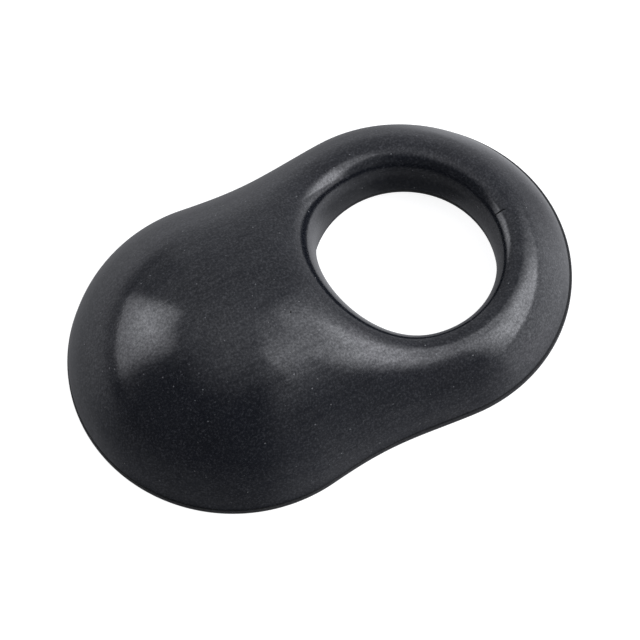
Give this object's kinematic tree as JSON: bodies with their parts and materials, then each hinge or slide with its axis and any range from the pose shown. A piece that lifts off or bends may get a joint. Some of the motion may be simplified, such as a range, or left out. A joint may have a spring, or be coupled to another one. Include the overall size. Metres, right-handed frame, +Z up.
{
  "type": "massage ball",
  "caption": "Hand-held massage ball: a round bulb that flows into a thick finger ring under one soft dark skin, with a flat rubber sole.",
  "frame": {"origin": "on the flat underside, at the middle of the length and the width", "axes": "+X from the bulb to the finger ring, +Y to the left across the width, +Z up from the flat underside"},
  "size_m": [0.103, 0.0654, 0.0263],
  "materials": {
    "skin_silicone": "satin charcoal silicone with a fine matte speckle",
    "frame_nylon": "dark grey glass-filled nylon",
    "ball_steel": "polished steel ball",
    "pad_rubber": "grey elastomer",
    "plate_plastic": "black moulded plastic",
    "sole_rubber": "matt black rubber",
    "screw_steel": "plain steel"
  },
  "bodies": {
    "root": {"grip_skin": "skin_silicone", "core_frame": "frame_nylon", "pressure_ball": "ball_steel", "ball_pad": "pad_rubber", "base_plate": "plate_plastic", "sole": "sole_rubber", "screw_1": "screw_steel", "screw_2": "screw_steel", "screw_3": "screw_steel", "screw_4": "screw_steel", "screw_5": "screw_steel", "screw_6": "screw_steel"}
  },
  "joints": []
}
